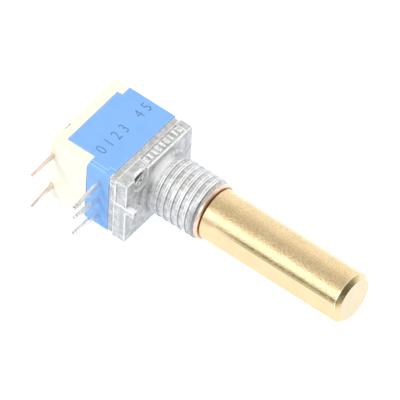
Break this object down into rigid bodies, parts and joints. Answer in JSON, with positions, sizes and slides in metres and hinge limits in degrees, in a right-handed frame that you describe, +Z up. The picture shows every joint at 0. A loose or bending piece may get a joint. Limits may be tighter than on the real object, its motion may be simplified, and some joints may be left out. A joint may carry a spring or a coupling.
{
  "type": "rotary potentiometer",
  "caption": "Panel-mounting rotary potentiometer: flatted shaft in a threaded bushing, resistor housing with side terminals, and a rotary switch behind it.",
  "frame": {"origin": "where the shaft axis meets the front face of the mounting plate", "axes": "+X along the shaft, out of the panel; +Z up; the terminals point along -Y"},
  "size_m": [0.0365, 0.0157, 0.009],
  "materials": {
    "zinc": "bare die casting, fine grain, dull",
    "copper": "bare copper alloy, satin",
    "steel": "spring steel, bright",
    "rivet_steel": "plated, staked head",
    "phenolic": "phenolic paper board, matt",
    "carbon": "printed carbon, matt",
    "silver": "printed silver, satin",
    "tinned": "tinned, satin, with shear marks at the tips",
    "blue_plastic": "moulded, fine texture, semi matt",
    "cream_plastic": "moulded, semi matt",
    "copper_pin": "copper alloy, satin",
    "brass": "turned, fine rings, bright",
    "dark_plastic": "moulded, matt",
    "bronze": "phosphor bronze strip, bright",
    "white_plastic": "moulded acetal, smooth"
  },
  "bodies": {
    "case": {"bushing_plate": "zinc", "mouth_washer": "copper", "thrust_washer": "steel", "rivet_upper": "rivet_steel", "rivet_lower": "rivet_steel", "element_board": "phenolic", "carbon_track": "carbon", "collector_track": "silver", "terminal_1": "tinned", "terminal_2": "tinned", "terminal_3": "tinned", "terminal_eyelets": "tinned", "housing": "blue_plastic", "switch_housing": "cream_plastic", "switch_contact_live": "copper_pin", "switch_contact_common": "copper_pin", "detent_spring": "steel"},
    "shaft_group": {"shaft": "brass", "retaining_clip": "steel", "wiper_rotor": "dark_plastic", "wiper_spring": "bronze", "switch_driver": "white_plastic", "switch_bridge": "bronze"}
  },
  "joints": [
    {"name": "shaft_turn", "type": "hinge", "parent": "case", "child": "shaft_group", "pos_m": [0, 0, 0], "axis": [-1, 0, 0], "range_deg": [0, 300]}
  ]
}
